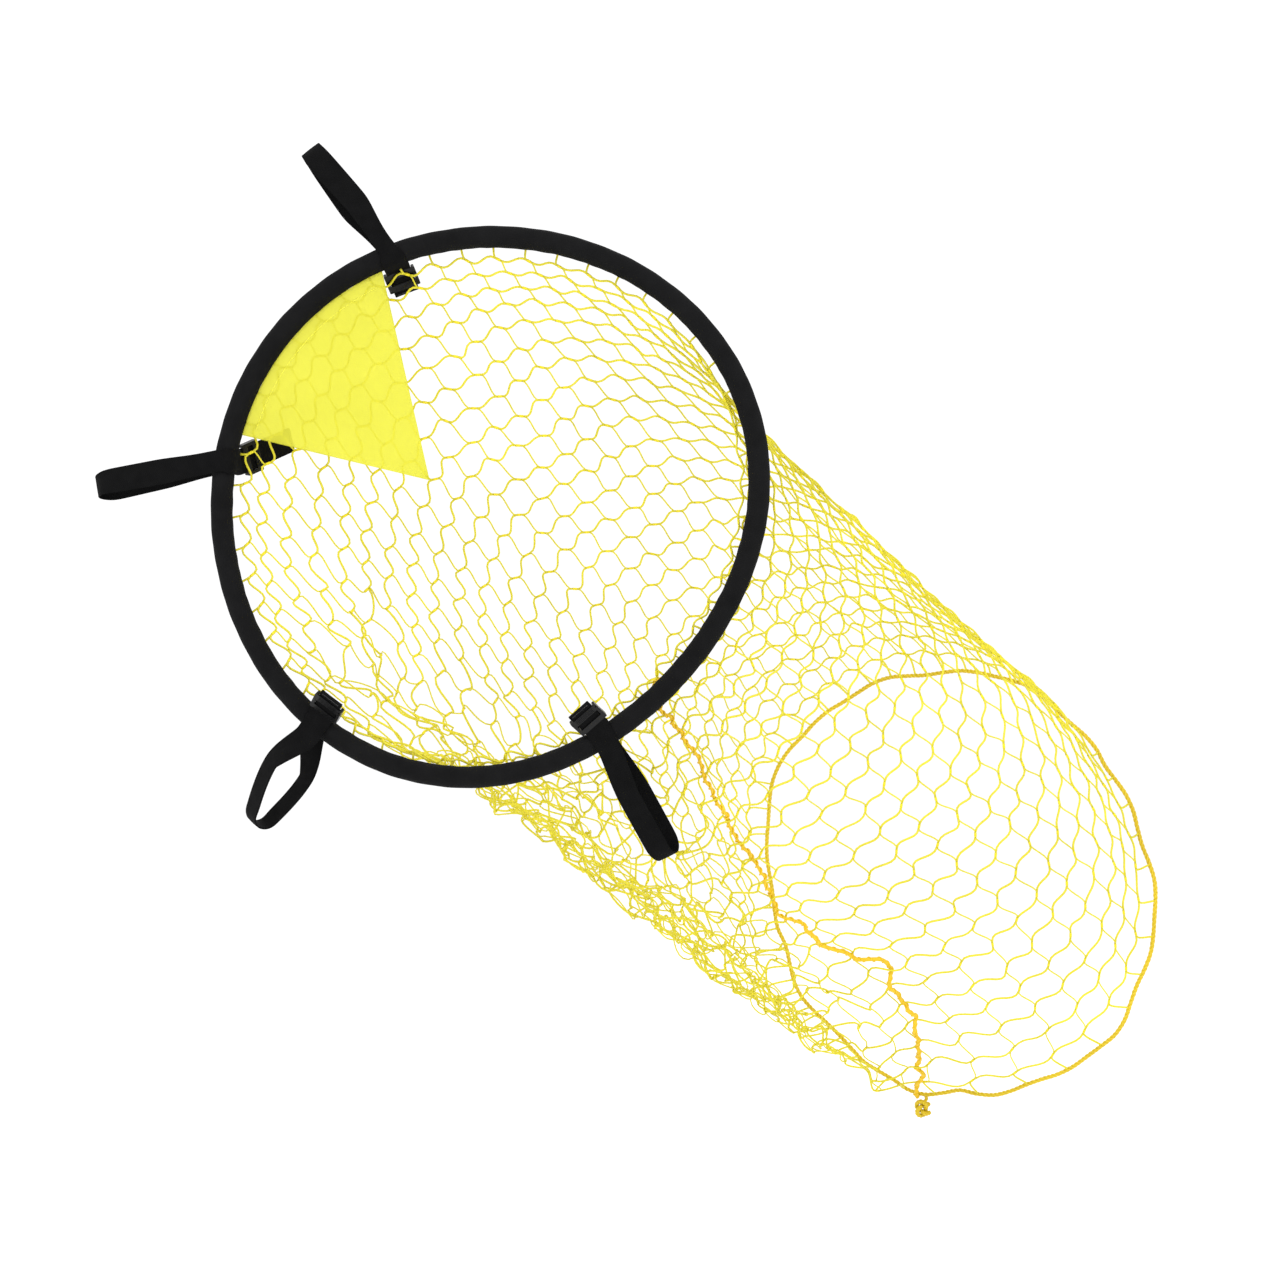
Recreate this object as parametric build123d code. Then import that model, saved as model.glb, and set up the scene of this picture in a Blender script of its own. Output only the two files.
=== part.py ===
from build123d import *

import os
from math import asin, cos, degrees, radians, sin, sqrt

# A folding target net: a padded spring hoop that faces -Y, with a skewed open net tube behind it,
# a cloth panel over one corner of the mouth and four webbing loops that tie the hoop to a goal frame.
# Millimetres, +Z up, origin at the centre of the hoop. Angles are in the hoop's plane, from +X towards +Z.

# Hoop
HOOP_R = 265.2  # mean radius of the tubular rim's centre line
# The springy rim isn't quite round, because the net pulls on it. Each departure from a circle repeats
# this many times round the rim, by this height, from its first high point at this angle.
HOOP_LOBES = ((1, 6.5, 134.0), (2, 7.3, 48.0), (3, 4.4, 17.0))
ARC_STEP = 30.0  # each such span of the rim is built as two circular arcs
WIRE_R = 2.0
WIRE_GAP_DEG = 0.4  # the wire's two ends meet inside the ferrule
FERRULE_R = (2.05, 3.4)
FERRULE_HALF_DEG = 4.5
FERRULE_AT = 20.0
PADDING_R = (3.6, 10.2)
SLEEVE_R = (10.3, 11.0)

# Stitches that close the sleeve, on its inner rear side
SEAM_STITCHES = 150
SEAM_STITCH = (6.0, 0.9, 0.5)  # length, width, height
SEAM_LEAN = 45.0  # degrees behind the inward direction
STITCH_LIFT = 0.15

# Straps
WEBBING_W = 25.0
WEBBING_T = 1.6
LOOP_R = 12.0  # inner radius of the loop's rounded tip
TUCK = 14.0  # where the two layers meet, from the rim's centre line
TAIL_HALF = 1.7  # the doubled tail's half thickness
TAIL_START = 15.5
LIMB_START = -3.0
TACK = (2.0, 20.0, 0.3)  # along, across, proud of the webbing

# Each strap: its place on the hoop (at), the way its loop points, how far the tip reaches from the rim's
# centre line, the loop's twist, the tail's turn in the hoop's plane, its lean towards +Y, where its buckle
# starts, and the tail's length
STRAPS = {
    "top": dict(at=111.5, points=127.8, reach=132.2, twist=0, turn=0, lean=36, buckle=17.8, tail=44.0),
    "left": dict(at=170.0, points=191.9, reach=130.0, twist=0, turn=29, lean=50, buckle=23.5, tail=88.0),
    "lower_left": dict(
        at=231.0, points=238.7, reach=118.4, twist=50, turn=4, lean=-45, buckle=17.8, tail=44.0
    ),
    "bottom": dict(
        at=296.0, points=298.8, reach=134.8, twist=0, turn=12, lean=-35, buckle=19.0, tail=45.2
    ),
}
TWIST_START = 18.0
TWIST_END = 80.0
TWIST_STEPS = 6

# Slide buckles, which thread onto the doubled tails
BUCKLE_L = 20.0
BUCKLE_W = 32.0
BUCKLE_T = 6.0
RAIL_W = 3.2
BAR_T = 1.0
FRONT_BARS = ((0.0, 6.0), (13.0, 20.0))
REAR_BARS = ((7.0, 12.0),)
RIB_PITCH = 1.5
RIB_H = 0.4
EYELET_R = 0.9

# Cloth panel over one corner of the mouth
PANEL_INSET = 11.3  # from the rim's centre line to the sewn edge
PANEL_FROM = 114.8
PANEL_TO = 163.8
PANEL_TIP = (-61.0, 27.0)
HEM_DEPTH = 18.0  # from the chord of the sewn edge to the fold line
HEM_T = 1.2
FLAP_T = 0.8
FOLD_GAP = 1.0
PANEL_STITCHES = 34
PANEL_STITCH = (5.0, 0.8, 0.4)
PANEL_STITCH_INSET = 25.0

# Net tube: (distance along its axis from 0 at the mouth to 1 at the tail rope, outer radius)
TAIL_CENTRE = (515.0, 370.0, -415.0)
TAIL_R = 246.0
TAIL_TURN = 30.0  # the tail mouth's plane, turned about +Z
NET_T = 0.6
NET_RINGS = ((0.045, 238.0), (0.16, 232.0), (0.36, 228.0), (0.58, 228.0), (0.8, 234.0), (0.97, 242.0))

# Cord along the net's seam: (distance along the axis, angle round the tube)
SEAM_PATH = (
    (0.06, -51.0),
    (0.2, -58.0),
    (0.36, -68.0),
    (0.48, -76.0),
    (0.6, -72.0),
    (0.76, -75.0),
    (0.88, -85.0),
    (0.955, -96.0),
)
SEAM_CORD_R = 1.6
SEAM_CLEARANCE = 2.4

# Rope round the tail mouth and its end knot
ROPE_R = 2.6
KNOT_AT = -100.0
KNOT_SCALE = 3.4
KNOT_CORD_R = 2.0
KNOT_DROP = 18.0
KNOT_STEPS = 28
KNOT_OPEN_DEG = 14.0  # half the gap between the cord's two cut ends

MOUTH_FRONT = Vector(0, -1, 0)
REAR = Vector(0, 1, 0)


def in_hoop_plane(angle, radius=1.0):
    """A point, or with no radius a direction, in the hoop's plane."""
    return Vector(radius * cos(radians(angle)), 0, radius * sin(radians(angle)))


def rim_section(angle):
    """The plane across the rim: x outwards, y to the rear, z along the rim."""
    radius = HOOP_R
    slope = 0.0
    for lobes, height, first in HOOP_LOBES:
        phase = radians(lobes * (angle - first))
        radius += height * cos(phase)
        slope -= lobes * height * sin(phase)
    along = in_hoop_plane(angle + 90, radius) + in_hoop_plane(angle, slope)
    return Plane(origin=in_hoop_plane(angle, radius), x_dir=REAR.cross(along), z_dir=along)


def arc_on(section, here, target):
    """Carries a section along the circular arc that leaves one rim plane and reaches a point further on."""
    chord = target - here.origin
    reach = chord.dot(chord) / (2 * chord.dot(here.x_dir))
    axis = Axis(here.origin + here.x_dir * reach, MOUTH_FRONT)
    turn = 2 * degrees(asin(chord.length / (2 * abs(reach))))
    along = here.z_dir.rotate(Axis((0, 0, 0), MOUTH_FRONT), turn)
    piece = revolve(here * section, axis=axis, revolution_arc=turn)
    return piece, Plane(origin=target, x_dir=REAR.cross(along), z_dir=along)


def rim_tube(radii, start=0.0, angle=360.0):
    """A round or tubular section between two radii, carried along the rim's centre line on tangent arcs."""
    section = Circle(max(radii))
    if min(radii) > 0:
        section -= Circle(min(radii))
    stop = start + angle
    between = [ARC_STEP * k for k in range(int(stop / ARC_STEP) + 1) if start + 1 < ARC_STEP * k < stop - 1]
    stations = [rim_section(at) for at in (start, *between, stop)]
    pieces = []
    for here, there in zip(stations, stations[1:]):
        gap = there.origin - here.origin
        both = here.z_dir + there.z_dir
        spread = 2 * (1 - here.z_dir.dot(there.z_dir))
        pull = (sqrt(gap.dot(both) ** 2 + spread * gap.dot(gap)) - gap.dot(both)) / spread
        joint = (here.origin + there.origin + (here.z_dir - there.z_dir) * pull) * 0.5
        for target in (joint, there.origin):
            piece, here = arc_on(section, here, target)
            pieces.append(piece)
    return pieces[0].fuse(*pieces[1:])


def write(name, shape):
    export_step(shape, f"parts/{name}.step")


# ---------------------------------------------------------------- hoop


def spring_hoop():
    return rim_tube((0.0, WIRE_R), FERRULE_AT + WIRE_GAP_DEG / 2, 360.0 - WIRE_GAP_DEG)


def hoop_ferrule():
    return rim_tube(FERRULE_R, FERRULE_AT - FERRULE_HALF_DEG, 2 * FERRULE_HALF_DEG)


def sleeve_stitching():
    """A line of thread along the sleeve's closing seam."""
    length, width, height = SEAM_STITCH
    stitches = []
    for i in range(SEAM_STITCHES):
        rim = rim_section(360.0 * i / SEAM_STITCHES)
        lean = rim.x_dir * -cos(radians(SEAM_LEAN)) + REAR * sin(radians(SEAM_LEAN))
        foot = rim.origin + lean * (SLEEVE_R[1] + STITCH_LIFT)
        plane = Plane(origin=foot, x_dir=rim.z_dir, z_dir=lean)
        stitches.append(plane * Pos(0, 0, height / 2) * Box(length, width, height))
    return Compound(children=stitches)


# ---------------------------------------------------------------- straps and buckles


def loop_plane(strap):
    """x along the loop, y to the rear, z across the webbing; the origin is on the rim's centre line."""
    return Plane(
        origin=rim_section(strap["at"]).origin,
        x_dir=in_hoop_plane(strap["points"]),
        z_dir=in_hoop_plane(strap["points"] + 90),
    )


def wrap_plane(strap):
    """The same, with -x along the tail before it turns."""
    rim = rim_section(strap["at"])
    lean = radians(strap["lean"])
    return Plane(origin=rim.origin, x_dir=rim.x_dir * cos(lean) - REAR * sin(lean), z_dir=rim.z_dir)


def tail_plane(strap):
    """x along the tail, away from the rim, y to its rear face; the origin is TAIL_START inwards."""
    wrap = wrap_plane(strap)
    origin = wrap.origin - wrap.x_dir * TAIL_START
    turn = Axis((0, 0, 0), wrap.y_dir * -1)
    along = (wrap.x_dir * -1).rotate(turn, strap["turn"])
    return Plane(origin=origin, x_dir=along, z_dir=along.cross(wrap.y_dir))


def teardrop(radius, point_at, point_half):
    """A circle round the rim drawn out to a narrow end on the tail's side."""
    circle = Circle(radius)
    narrow_end = Pos(-point_at, 0) * Rectangle(0.2, 2 * point_half)
    return make_hull(circle.edges() + narrow_end.edges())


def wrap_and_tail(strap):
    """The webbing round the rim's inner side and the doubled tail."""
    band = teardrop(LOOP_R + WEBBING_T, TUCK + 2.6, TAIL_HALF)
    hollow = teardrop(LOOP_R, TUCK - 1.5, 0.05)
    wrap = wrap_plane(strap) * extrude(band - hollow, WEBBING_W / 2, both=True)
    opening_length = 4 * LOOP_R
    opening = Pos(-LIMB_START + opening_length / 2, 0, 0) * Box(opening_length, 2 * LOOP_R, 3 * WEBBING_W)
    edge_cut = Pos(-LIMB_START + opening_length / 2, 0, 0) * Box(opening_length, 4 * LOOP_R, 3 * WEBBING_W)
    loop = loop_plane(strap)
    wrap = wrap - loop * opening - loop * edge_cut
    length = strap["tail"] - TAIL_START
    tail = tail_plane(strap) * Pos(length / 2 + 1.5, 0, 0) * Box(length - 3.0, 2 * TAIL_HALF, WEBBING_W)
    return wrap + tail


def flat_loop(strap):
    """The part outside the hoop: two limbs and a rounded tip."""
    outer = LOOP_R + WEBBING_T
    tip = strap["reach"] - outer
    limbs = Pos((LIMB_START + tip) / 2, 0) * Rectangle(tip - LIMB_START, 2 * outer)
    hollow = Pos((LIMB_START + tip) / 2 - 5, 0) * Rectangle(tip - LIMB_START + 10, 2 * LOOP_R)
    profile = limbs + Pos(tip, 0) * Circle(outer) - hollow - Pos(tip, 0) * Circle(LOOP_R)
    return loop_plane(strap) * extrude(profile, WEBBING_W / 2, both=True)


def twist_at(distance, twist):
    """The loop's twist, which starts and ends smoothly."""
    share = min(max((distance - TWIST_START) / (TWIST_END - TWIST_START), 0.0), 1.0)
    return twist * share * share * (3 - 2 * share)


def twisted_loop(strap):
    """The same loop, with its outer end turned about its own length."""
    middle = LOOP_R + WEBBING_T / 2
    outer = LOOP_R + WEBBING_T
    tip = strap["reach"] - outer
    span = TWIST_END - TWIST_START
    stations = [TWIST_START + span * i / TWIST_STEPS for i in range(TWIST_STEPS + 1)]
    body = None
    for side in (-1, 1):
        near = Pos((LIMB_START + TWIST_START + 0.2) / 2, side * middle, 0) * Box(
            TWIST_START - LIMB_START + 0.2, WEBBING_T, WEBBING_W
        )
        sections = []
        for distance in stations:
            turned = Plane(origin=(distance, 0, 0), x_dir=(0, 1, 0), z_dir=(1, 0, 0)).rotated(
                (0, 0, twist_at(distance, strap["twist"]))
            )
            sections.append(turned * Pos(side * middle, 0) * Rectangle(WEBBING_T, WEBBING_W))
        limb = near + loft(sections)
        body = limb if body is None else body + limb
    straight = Pos((TWIST_END - 0.2 + tip) / 2, 0) * Rectangle(tip - TWIST_END + 0.2, 2 * outer)
    hollow = Pos((TWIST_END + tip) / 2 - 5, 0) * Rectangle(tip - TWIST_END + 10, 2 * LOOP_R)
    profile = straight + Pos(tip, 0) * Circle(outer) - hollow - Pos(tip, 0) * Circle(LOOP_R)
    end = Rot(strap["twist"], 0, 0) * extrude(profile, WEBBING_W / 2, both=True)
    return loop_plane(strap) * (body + end)


def strap_webbing(strap):
    loop = twisted_loop(strap) if strap["twist"] else flat_loop(strap)
    return loop + wrap_and_tail(strap)


def bar_tack(strap):
    """Dense stitching on both faces of the tail's end."""
    along, across, proud = TACK
    middle = strap["tail"] - TAIL_START - 2.0
    lift = TAIL_HALF + 0.02 + proud / 2
    tail = tail_plane(strap)
    faces = [tail * Pos(middle, side * lift, 0) * Box(along, proud, across) for side in (-1, 1)]
    return Compound(children=faces)


def buckle(strap):
    """A moulded slide: two side rails, two bars across the front and one across the back."""
    start = strap["buckle"] - TAIL_START
    rail_middle = (BUCKLE_W - RAIL_W) / 2
    body = None
    for side in (-1, 1):
        rail = Pos(start + BUCKLE_L / 2, 0, side * rail_middle) * Box(BUCKLE_L, BUCKLE_T, RAIL_W)
        rail = fillet(rail.edges().filter_by(Axis.Y), 1.0)
        body = rail if body is None else body + rail
    inner_w = BUCKLE_W - RAIL_W
    for bars, face in ((FRONT_BARS, -1), (REAR_BARS, 1)):
        for low, high in bars:
            middle = start + (low + high) / 2
            body += Pos(middle, face * (BUCKLE_T - BAR_T) / 2, 0) * Box(high - low, BAR_T, inner_w)
    ribs = int((FRONT_BARS[0][1] - FRONT_BARS[0][0]) / RIB_PITCH)
    for i in range(ribs):
        along = start + FRONT_BARS[1][0] + 1.0 + i * RIB_PITCH
        body += Pos(along, -(BUCKLE_T + RIB_H) / 2 + 0.05, 0) * Box(0.7, RIB_H + 0.1, WEBBING_W - 4)
    eyelet = Pos(start + BUCKLE_L - 3.0, 0, -rail_middle) * Rot(90, 0, 0) * Cylinder(EYELET_R, 3 * BUCKLE_T)
    return tail_plane(strap) * (body - eyelet)


# ---------------------------------------------------------------- cloth panel


def panel_edge_point(angle, inset=PANEL_INSET):
    """On the sewn edge, or this far inside the rim's centre line."""
    rim = rim_section(angle)
    return rim.origin - rim.x_dir * inset


def panel_frame():
    """x along the chord of the sewn edge, y towards the tip, z to the front; the origin is mid-chord."""
    first = panel_edge_point(PANEL_FROM)
    last = panel_edge_point(PANEL_TO)
    along = (last - first).normalized()
    return Plane(origin=(first + last) / 2, x_dir=along, z_dir=MOUTH_FRONT)


def panel_outline():
    """The whole panel: a curved edge sewn to the sleeve and two straight edges to the tip."""
    steps = 8
    sewn = [panel_edge_point(PANEL_FROM + (PANEL_TO - PANEL_FROM) * i / steps) for i in range(steps + 1)]
    tip = Vector(PANEL_TIP[0], 0, PANEL_TIP[1])
    edges = [Spline(sewn), Line(sewn[-1], tip), Line(tip, sewn[0])]
    return Face(Wire(edges))


def panel_piece(thickness, from_fold):
    """One side of the fold line, as a flat sheet."""
    sheet = extrude(panel_outline(), thickness / 2, dir=(0, 1, 0), both=True)
    big = 600.0
    offset = HEM_DEPTH + (FOLD_GAP / 2 if from_fold else -FOLD_GAP / 2)
    side = 1 if from_fold else -1
    keep = panel_frame() * Pos(0, panel_side() * (offset + side * big / 2), 0) * Box(big, big, big)
    return sheet & keep


def panel_side():
    """+1 if the panel frame's y points at the tip, else -1."""
    tip = Vector(PANEL_TIP[0], 0, PANEL_TIP[1])
    return 1 if panel_frame().to_local_coords(tip).Y > 0 else -1


def fan_stitching():
    """The hem's stitches, which follow the sewn edge."""
    length, width, height = PANEL_STITCH
    stitches = []
    span = PANEL_TO - PANEL_FROM - 3.0
    for i in range(PANEL_STITCHES):
        angle = PANEL_FROM + 1.5 + span * (i + 0.5) / PANEL_STITCHES
        foot = panel_edge_point(angle, PANEL_STITCH_INSET) + MOUTH_FRONT * (HEM_T / 2 + 0.02)
        plane = Plane(origin=foot, x_dir=rim_section(angle).z_dir, z_dir=MOUTH_FRONT)
        stitches.append(plane * Pos(0, 0, height / 2) * Box(length, width, height))
    return Compound(children=stitches)


# ---------------------------------------------------------------- net tube, seam cord and tail rope


def tube_frame(share):
    """Where the tube's section lies at a share of its length; its plane turns towards the tail mouth's."""
    centre = Vector(*TAIL_CENTRE) * share
    turn = radians(TAIL_TURN * share)
    right = Vector(cos(turn), -sin(turn), 0)
    return centre, right, Vector(0, 0, 1)


def tube_point(share, angle, radius):
    centre, right, up = tube_frame(share)
    return centre + right * (radius * cos(radians(angle))) + up * (radius * sin(radians(angle)))


def tube_radius(share):
    """The net's outer radius, read between its rings."""
    low = NET_RINGS[0]
    for high in NET_RINGS[1:]:
        if share <= high[0]:
            break
        low = high
    part = (share - low[0]) / (high[0] - low[0])
    return low[1] + (high[1] - low[1]) * min(max(part, 0.0), 1.0)


def net_tube():
    """The net as a thin skewed tube, open at both ends."""
    skins = []
    for inset in (0.0, NET_T):
        sections = []
        for share, radius in NET_RINGS:
            centre, right, up = tube_frame(share)
            plane = Plane(origin=centre, x_dir=right, z_dir=right.cross(up))
            sections.append(plane * Circle(radius - inset))
        skins.append(loft(sections))
    return skins[0] - skins[1]


def swept_cord(points, radius):
    """A round cord along a smooth line through the points."""
    path = Spline(points)
    start = Plane(origin=path @ 0, z_dir=path % 0)
    return sweep(start * Circle(radius), path=path)


def side_seam_lacing():
    lift = SEAM_CLEARANCE + SEAM_CORD_R
    points = [tube_point(share, angle, tube_radius(share) + lift) for share, angle in SEAM_PATH]
    return swept_cord(points, SEAM_CORD_R)


def tail_rope():
    """A rope ring in the tail mouth's plane."""
    centre, right, up = tube_frame(1.0)
    plane = Plane(origin=centre, x_dir=right, z_dir=right.cross(up))
    return plane * Torus(TAIL_R, ROPE_R)


def tail_knot():
    """A small overhand knot that hangs below the rope."""
    centre = tube_point(1.0, KNOT_AT, TAIL_R + KNOT_DROP)
    points = []
    for i in range(KNOT_STEPS + 1):
        t = KNOT_OPEN_DEG + (360.0 - 2 * KNOT_OPEN_DEG) * i / KNOT_STEPS
        reach = KNOT_SCALE * (2 + cos(radians(3 * t)))
        points.append(
            centre
            + Vector(
                reach * cos(radians(2 * t)),
                KNOT_SCALE * sin(radians(3 * t)),
                reach * sin(radians(2 * t)),
            )
        )
    return swept_cord(points, KNOT_CORD_R)


def main():
    os.makedirs("parts", exist_ok=True)
    write("spring_hoop", spring_hoop())
    write("hoop_ferrule", hoop_ferrule())
    write("hoop_padding", rim_tube(PADDING_R))
    write("hoop_sleeve", rim_tube(SLEEVE_R))
    write("sleeve_stitching", sleeve_stitching())
    write("fan_hem", panel_piece(HEM_T, from_fold=False))
    write("fan_flap", panel_piece(FLAP_T, from_fold=True))
    write("fan_stitching", fan_stitching())
    write("net_tube", net_tube())
    write("side_seam_lacing", side_seam_lacing())
    write("tail_rope", tail_rope())
    write("tail_knot", tail_knot())
    for name, strap in STRAPS.items():
        write(f"{name}_strap", strap_webbing(strap))
        write(f"{name}_bar_tack", bar_tack(strap))
        write(f"{name}_buckle", buckle(strap))


main()
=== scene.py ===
import math

import bmesh
import bpy
import numpy as np
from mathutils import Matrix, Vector


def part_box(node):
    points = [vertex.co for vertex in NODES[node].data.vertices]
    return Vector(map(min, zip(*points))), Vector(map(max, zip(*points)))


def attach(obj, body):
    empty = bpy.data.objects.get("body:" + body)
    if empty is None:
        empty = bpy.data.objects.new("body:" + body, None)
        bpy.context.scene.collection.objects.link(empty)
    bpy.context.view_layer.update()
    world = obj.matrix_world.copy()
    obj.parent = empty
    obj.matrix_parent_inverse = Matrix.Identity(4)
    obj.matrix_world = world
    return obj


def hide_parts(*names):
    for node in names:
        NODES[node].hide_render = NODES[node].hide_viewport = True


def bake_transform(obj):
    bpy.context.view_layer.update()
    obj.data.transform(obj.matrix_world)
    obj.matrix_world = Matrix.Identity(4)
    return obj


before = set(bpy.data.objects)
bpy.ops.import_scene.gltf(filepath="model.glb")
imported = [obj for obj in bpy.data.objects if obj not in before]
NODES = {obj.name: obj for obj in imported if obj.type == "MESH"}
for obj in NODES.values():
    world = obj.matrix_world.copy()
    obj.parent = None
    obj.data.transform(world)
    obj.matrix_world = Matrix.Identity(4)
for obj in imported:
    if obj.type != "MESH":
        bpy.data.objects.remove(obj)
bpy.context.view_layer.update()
NOISE = np.random.RandomState(7)

# ------------------------------------------------------------------ sizes, in metres and degrees
# Angles are in the hoop's plane, from +X towards +Z; -Y is the front and +Y the back.

# Hoop. The rim isn't quite round, because the net pulls on it: each departure from a circle repeats this many
# times round the rim, by this height, from its first high point at this angle.
HOOP_R = 0.2652
HOOP_LOBES = ((1, 0.0065, 134.0), (2, 0.0073, 48.0), (3, 0.0044, 17.0))
SLEEVE_R = 0.011
SLEEVE_INNER_R = 0.01035
SLEEVE_WEAVE = 0.0011
SLEEVE_SEAM_DEG = 45.0  # how far behind the inward direction the sleeve's seam lies
SEAM_RIDGE = 0.0005
SLEEVE_STITCHES = 200
SLEEVE_STITCH_HALF_DEG = 0.62
STITCH_ARCH = 0.0005
SLEEVE_THREAD_R = 0.00036

# Webbing
WEBBING_HALF_W = 0.0125
WEBBING_HALF_T = 0.0008
RIB_PITCH = 0.0019
CHEVRON_PITCH = 0.005
THREAD_PITCH = 0.00125
LIMB_OFFSET = 0.0128  # from the loop's middle to each of its two sides
LIMB_TIP_R = 0.0136
LOOP_START = 0.004
TWIST_START = 0.015
TAIL_START = 0.0155
TAIL_OPENS = 0.004  # beyond the tail's start, where its two layers part to go round the rim
TAIL_CUT = 0.0003
TAIL_CONTACT = 39.0
LAYER_OFFSET = 0.00088
LINE_POINTS = 300
LINE_SMOOTHINGS = 14
RIM_GAP = 0.0004
TACK_INSET = 0.0020
TACK_WIDTH = 0.019
TACK_HALF = 0.0006
TACK_STEPS = 32
TACK_LIFT = 0.0001
TACK_THREAD_R = 0.00032
# Each strap: where it sits, where its loop points and how far it reaches, how far the loop's two sides turn
# by its middle and by its tip, how far they bulge apart, how narrow the webbing is drawn beside the hoop, and
# how the tail turns and leans and how long it is.
STRAPS = {
    "top": dict(
        at=111.5, points=127.8, reach=0.1322, twist=18.0, tip_twist=0.0, bulge=0.0, waist=0.72,
        turn=0.0, lean=36.0, tail=0.044
    ),
    "left": dict(
        at=170.0, points=191.9, reach=0.1300, twist=5.0, tip_twist=12.0, bulge=0.0, waist=0.86,
        turn=29.0, lean=50.0, tail=0.088
    ),
    "lower_left": dict(
        at=231.0, points=238.7, reach=0.1184, twist=50.0, tip_twist=50.0, bulge=0.010, waist=1.0,
        turn=4.0, lean=-45.0, tail=0.044
    ),
    "bottom": dict(
        at=296.0, points=298.8, reach=0.1348, twist=28.0, tip_twist=26.0, bulge=0.0, waist=0.92,
        turn=12.0, lean=-35.0, tail=0.0452
    ),
}

# The two buckles that lie against the net, and the room its cords leave round them
BUCKLE_STARTS = {"top": 0.0178, "left": 0.0235}
BUCKLE_LENGTH = 0.020
BUCKLE_HALF_W = 0.016
BUCKLE_HALF_T = 0.0034
BUCKLE_MARGIN = 0.003
TAIL_MARGIN = 0.002
TAIL_COVERED_FROM = 0.009
CORD_OVER_BUCKLE = 0.0016
CORD_OVER_TAIL = 0.0032
CORD_BEHIND = 0.02  # cords further behind the tail than this are left where they are

# Cloth panel
PANEL_INSET = 0.0109
PANEL_FROM = 114.8
PANEL_TO = 163.8
PANEL_TIP = (-0.061, 0.027)
PANEL_HALF_T = 0.00035
PANEL_GRID = (90, 80)
PANEL_WEAVE = 0.0007
HEM_EXTRA = 0.0005
HEM_REACH = 0.0135
HEM_STEP = 0.0012
HEM_STITCHES = 46
HEM_STITCH_ROW = 0.0125 / 0.2  # share of the way from the sewn edge to the tip
HEM_STITCH_LIFT = 0.00055
HEM_STITCH_ARCH = 0.0003
HEM_THREAD_R = 0.0003

# Net: the wall's radius at shares of the way from the hoop to the tail
TAIL_CENTRE = np.array((0.515, 0.370, -0.415))
TAIL_TURN = 30.0  # the tail mouth's plane, turned about +Z
NET_RINGS = (
    (0.0, 0.2472), (0.02, 0.2430), (0.045, 0.2388), (0.16, 0.2315), (0.36, 0.2275),
    (0.58, 0.2275), (0.8, 0.2335), (0.97, 0.2415), (1.0, 0.2440),
)
NET_LIFT = 0.008  # the wall starts this far behind the hoop's plane
# The side seam's angle round the tube, at shares of its length
SEAM_LINE = (
    (0.0, -45.5), (0.02, -48.5), (0.057, -52.0), (0.107, -53.4), (0.164, -57.0), (0.22, -61.0),
    (0.286, -65.0), (0.37, -69.0), (0.42, -73.0), (0.486, -78.6), (0.5, -73.7), (0.57, -76.5),
    (0.62, -71.6), (0.646, -67.4), (0.686, -72.3), (0.786, -77.2), (0.886, -88.4), (1.0, -102.0),
)
NET_SEAM_AT = -45.0
# How far the net beside the seam has slipped round with it, in degrees, at shares of the length
SLIP = ((0.0, 0.0), (0.3, -18.0), (0.5, -27.5), (0.7, -30.0), (0.9, -42.0), (1.0, -56.0))
# How far a row lies towards the tail, as a share of the length, at angles round the cloth from its seam
SAG = (
    (0.0, -0.02), (60.0, 0.018), (110.0, 0.0), (145.0, -0.009), (163.0, 0.009), (185.0, -0.009),
    (205.0, 0.009), (235.0, 0.045), (275.0, 0.055), (320.0, 0.02), (360.0, -0.02),
)
# How far the folds low on the left hang outwards, at shares of the length
HANG = ((0.0, 0.0), (0.1, 0.005), (0.35, 0.015), (0.6, 0.025), (0.85, 0.027), (0.96, 0.018), (1.0, 0.0))
FOLD_DEPTH = 0.008
NET_AROUND = 51
NET_ROWS = 24
ROW_OF = np.repeat(np.arange(NET_ROWS), NET_AROUND)  # the row of each of the net's joints
FIRST_ROW = 0.004
ROW_STEP = 0.046
ROW_STEP_LESS = 0.024  # how much closer together the first rows are
ROW_STEP_FADE = 4.0
STRAY_TURN = 1.0
STRAY_SHARE = 0.0045
STRAY_SWELL = 0.0022
STRAY_LAY = 0.13
STRAY_STRAND = 0.55
ROUND_CORD_R = 0.00118
LONG_CORD_R = 0.00084
# The lengths of the strands' curve handles, as shares of the gap that they cross
ROUND_SLACK = 0.50
LONG_SLACK = 0.22
LONG_SLACK_LOOSE = 0.12
TIE_SLACK = 0.28
TIE_OFFSET_DEG = 0.6
LAST_SLACK = 0.2
STRAND_POINTS = 8
CORD_SIDES = 6
JOINT_R = 0.00158
JOINT_HALF = 0.0027
JOINT_SHAPE = (0.8, 1.0, 0.9, 1.0, 0.8)

# Rope: the limp outline of the tail mouth, by the angle round it
RIM_OUTLINE = (
    (0.0, 0.228), (40.0, 0.224), (65.0, 0.243), (95.0, 0.250), (125.0, 0.258), (146.0, 0.270),
    (160.0, 0.260), (180.0, 0.247), (200.0, 0.236), (212.0, 0.250), (234.0, 0.237), (257.0, 0.251),
    (270.0, 0.235), (290.0, 0.237), (320.0, 0.236), (360.0, 0.228),
)
KNOT_AT = -100.0
KNOT_STEPS = 40
KNOT_OPEN_DEG = 12
KNOT_SCALE = 0.0030
KNOT_DEPTH = 0.0034

# Cord over the net's seam: thin as far as SEAM_THICKENS, then thicker
SEAM_CORD_R = 0.0016
SEAM_CORD_LIFT = 0.0022
SEAM_THICKENS = 0.45
SEAM_THICKENS_OVER = 0.05
SEAM_STRAY = (0.0014, 0.0012)

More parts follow.
